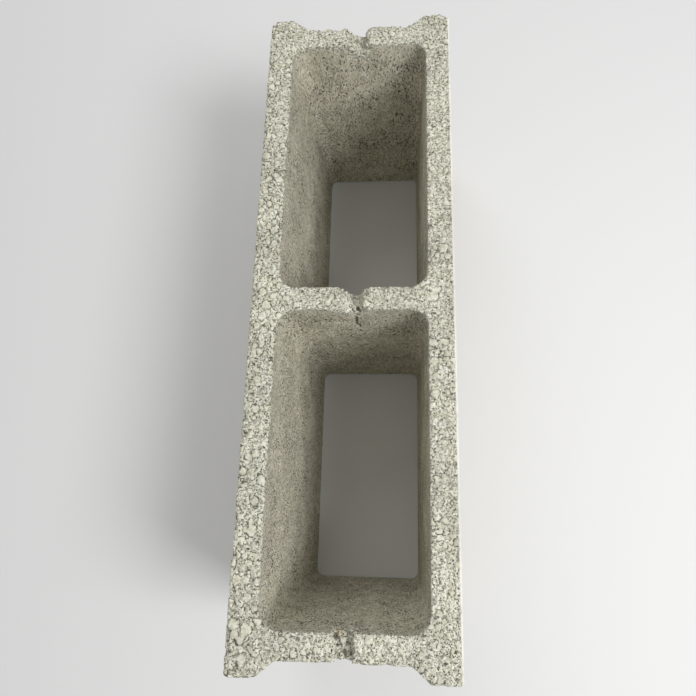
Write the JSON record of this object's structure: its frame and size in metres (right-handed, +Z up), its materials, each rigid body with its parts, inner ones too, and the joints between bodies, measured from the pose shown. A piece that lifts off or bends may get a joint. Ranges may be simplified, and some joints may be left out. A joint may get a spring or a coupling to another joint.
{
  "type": "hollow concrete block",
  "caption": "Hollow concrete building block with two tapered cells open top and bottom, recessed ends between ears, and a core-bar groove across its webs.",
  "frame": {"origin": "centre of the bottom bed face, the face that the block stands on", "axes": "+Z up from the bottom bed to the open top bed, +Y along the block's length, +X across its width"},
  "size_m": [0.15, 0.5, 0.2],
  "materials": {
    "concrete": "rough, open-textured pressed concrete"
  },
  "bodies": {
    "root": {"block": "concrete"}
  },
  "joints": []
}
